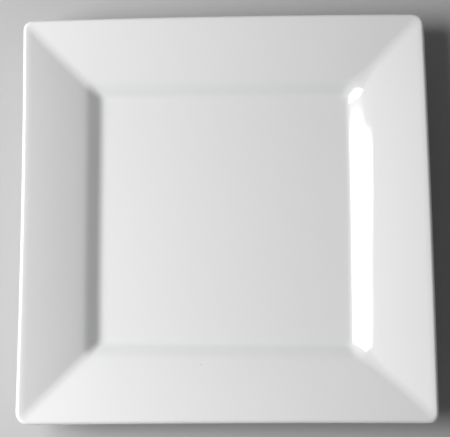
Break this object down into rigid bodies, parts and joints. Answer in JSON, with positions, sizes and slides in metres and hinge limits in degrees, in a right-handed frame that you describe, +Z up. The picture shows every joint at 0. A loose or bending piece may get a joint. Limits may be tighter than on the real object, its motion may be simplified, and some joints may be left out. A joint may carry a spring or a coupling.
{
  "type": "square serving platter",
  "caption": "Square glazed porcelain platter: flat square well, short steep wall, wide sloping rim with soft mitred corners, rounded lip and a square foot ring.",
  "frame": {"origin": "centre of the foot ring's standing face, on the table", "axes": "+Z up out of the well; +X and +Y square to two sides, which are all alike"},
  "size_m": [0.305, 0.305, 0.0289],
  "materials": {
    "porcelain": "dry, fine-ground matt",
    "face_glaze": "clear gloss glaze over white clay",
    "base_glaze": "clear gloss glaze over white clay, a little thinner and less even"
  },
  "bodies": {
    "root": {"porcelain_body": "porcelain", "face_glaze": "face_glaze", "base_glaze": "base_glaze"}
  },
  "joints": []
}
